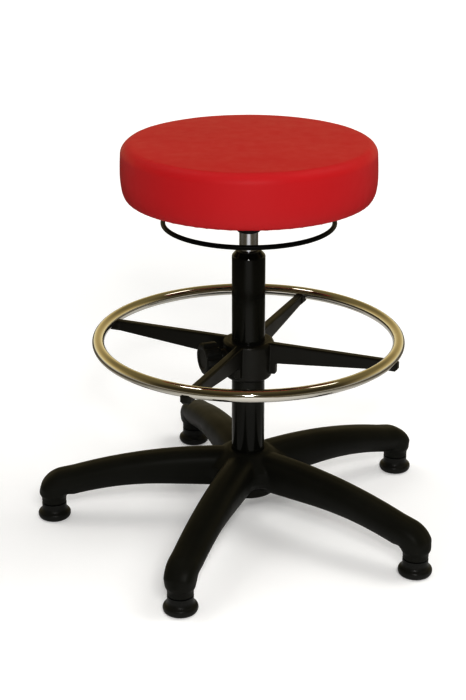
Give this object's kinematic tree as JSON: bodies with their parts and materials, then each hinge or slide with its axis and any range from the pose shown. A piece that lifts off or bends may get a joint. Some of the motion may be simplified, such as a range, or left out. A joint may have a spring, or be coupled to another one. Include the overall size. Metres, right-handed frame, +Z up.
{
  "type": "height-adjustable swivel stool",
  "caption": "Swivel stool with a round red vinyl seat on a gas lift, a release ring under the seat, a chrome footring and a five-armed black base on fixed glides.",
  "frame": {"origin": "floor level, under the column's axis", "axes": "+Z up along the column, +X to the sitter's right in the front view, +Y towards the back"},
  "size_m": [0.6004, 0.6286, 0.606],
  "materials": {
    "base_nylon": "satin moulded glass-filled nylon",
    "glide_plastic": "satin moulded",
    "column_enamel": "gloss black enamel",
    "rod_enamel": "semi-gloss black enamel",
    "plate_enamel": "satin black powder coat",
    "cylinder_steel": "ground and plated",
    "ground_steel": "ground",
    "zinc_steel": "bright zinc",
    "spring_steel": "blackened",
    "ring_chrome": "polished chrome",
    "spider_nylon": "satin moulded",
    "knob_plastic": "satin moulded",
    "black_acetal": "smooth",
    "black_rubber": "matt",
    "insert_brass": "turned",
    "plywood": "sanded birch plywood",
    "foam": "open-cell foam",
    "red_vinyl": "soft-grained red vinyl",
    "dust_cloth": "non-woven cloth"
  },
  "bodies": {
    "base": {"star_base": "base_nylon", "hub_sleeve": "zinc_steel", "glide_stems": "zinc_steel", "grip_rings": "zinc_steel", "glide_1": "glide_plastic", "glide_2": "glide_plastic", "glide_3": "glide_plastic", "glide_4": "glide_plastic", "glide_5": "glide_plastic", "column_tube": "column_enamel", "guide_bushing": "black_acetal", "bearing_race_lower": "zinc_steel", "thrust_balls": "ground_steel", "ball_cage": "black_acetal"},
    "spindle": {"bearing_race_upper": "zinc_steel", "rubber_buffer": "black_rubber", "piston_rod": "ground_steel", "piston": "black_acetal", "rod_washer": "zinc_steel", "rod_clip": "spring_steel"},
    "seat": {"gas_cylinder": "cylinder_steel", "rod_guide": "black_acetal", "rod_seal": "black_rubber", "taper_socket": "plate_enamel", "socket_dish": "plate_enamel", "seat_plate": "plate_enamel", "seat_bolts": "zinc_steel", "tee_nuts": "zinc_steel", "seat_board": "plywood", "seat_foam": "foam", "seat_cover": "red_vinyl", "dust_cover": "dust_cloth", "staples": "zinc_steel"},
    "release_lever": {"release_ring": "rod_enamel", "rocker_plate": "rod_enamel"},
    "valve": {"valve_pin": "ground_steel"},
    "footring_sleeve": {"height_sleeve": "black_acetal"},
    "footring": {"footring_tube": "ring_chrome", "footring_spider": "spider_nylon", "footring_screws": "zinc_steel", "thread_insert": "insert_brass"},
    "clamp_shoe": {"clamp_pad": "insert_brass"},
    "clamp_screw": {"clamp_stud": "zinc_steel", "clamp_knob": "knob_plastic"}
  },
  "joints": [
    {"name": "seat_swivel", "type": "hinge", "parent": "base", "child": "spindle", "pos_m": [0, 0, 0.055], "axis": [0, 0, 1], "continuous": true},
    {"name": "seat_height", "type": "slide", "parent": "spindle", "child": "seat", "axis": [0, 0, 1], "range_m": [0, 0.25]},
    {"name": "release_tilt", "type": "hinge", "parent": "seat", "child": "release_lever", "pos_m": [0, -0.024, 0.5212], "axis": [-1, 0, 0], "range_deg": [0, 5], "stiffness_Nm_per_rad": 5, "springref_deg": -17.19},
    {"name": "valve_press", "type": "slide", "parent": "seat", "child": "valve", "axis": [0, 0, -1], "range_m": [0, 0.0026]},
    {"name": "footring_height", "type": "slide", "parent": "base", "child": "footring_sleeve", "axis": [0, 0, 1], "range_m": [-0.1, 0.12]},
    {"name": "footring_turn", "type": "hinge", "parent": "footring_sleeve", "child": "footring", "pos_m": [0, 0, 0.27], "axis": [0, 0, 1], "continuous": true},
    {"name": "clamp_travel", "type": "slide", "parent": "footring", "child": "clamp_shoe", "axis": [-0.9205, -0.3907, 0], "range_m": [0, 0.0025]},
    {"name": "clamp_turn", "type": "hinge", "parent": "clamp_shoe", "child": "clamp_screw", "pos_m": [-0.05523, -0.02344, 0.2785], "axis": [-0.9205, -0.3907, 0], "range_deg": [0, 725]}
  ],
  "couplings": [
    {"joint": "valve_press", "follows": "release_tilt", "m_per_rad": 0.028},
    {"joint": "clamp_turn", "follows": "clamp_travel", "rad_per_m": 5026.5}
  ]
}
